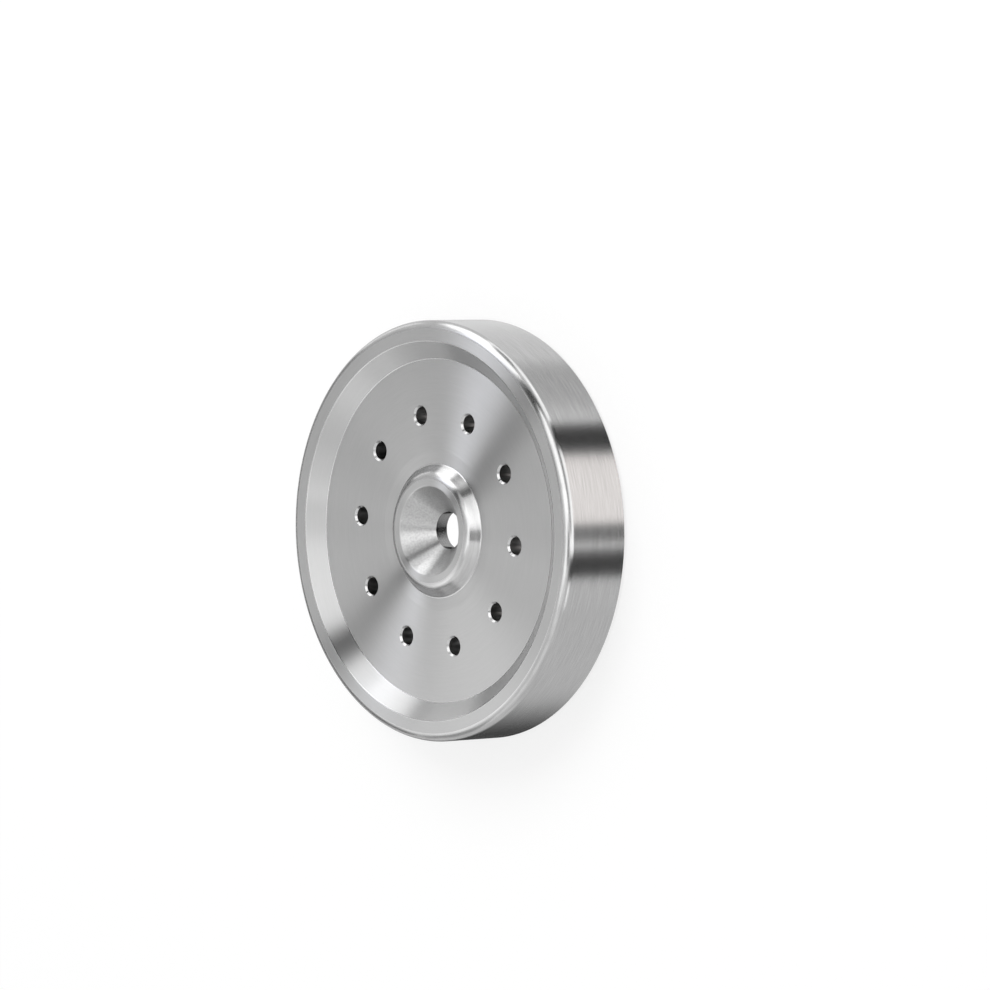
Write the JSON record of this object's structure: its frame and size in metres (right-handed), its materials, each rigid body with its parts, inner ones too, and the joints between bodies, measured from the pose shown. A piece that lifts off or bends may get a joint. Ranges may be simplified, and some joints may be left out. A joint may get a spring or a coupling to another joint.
{
  "type": "espresso shower screen holder",
  "caption": "Round turned steel holder for an espresso shower screen: a rim with a rounded front edge, a recessed face with a countersunk centre boss and a ring of water holes, hollow at the back.",
  "frame": {"origin": "centre of the back rim face, on the disc's axis", "axes": "+Z along the disc's axis, out of the face that takes the screen; +X through the centre of one water hole"},
  "size_m": [0.058, 0.058, 0.0106],
  "materials": {
    "turned_steel": "fine turned"
  },
  "bodies": {
    "root": {"screen_holder": "turned_steel"}
  },
  "joints": []
}
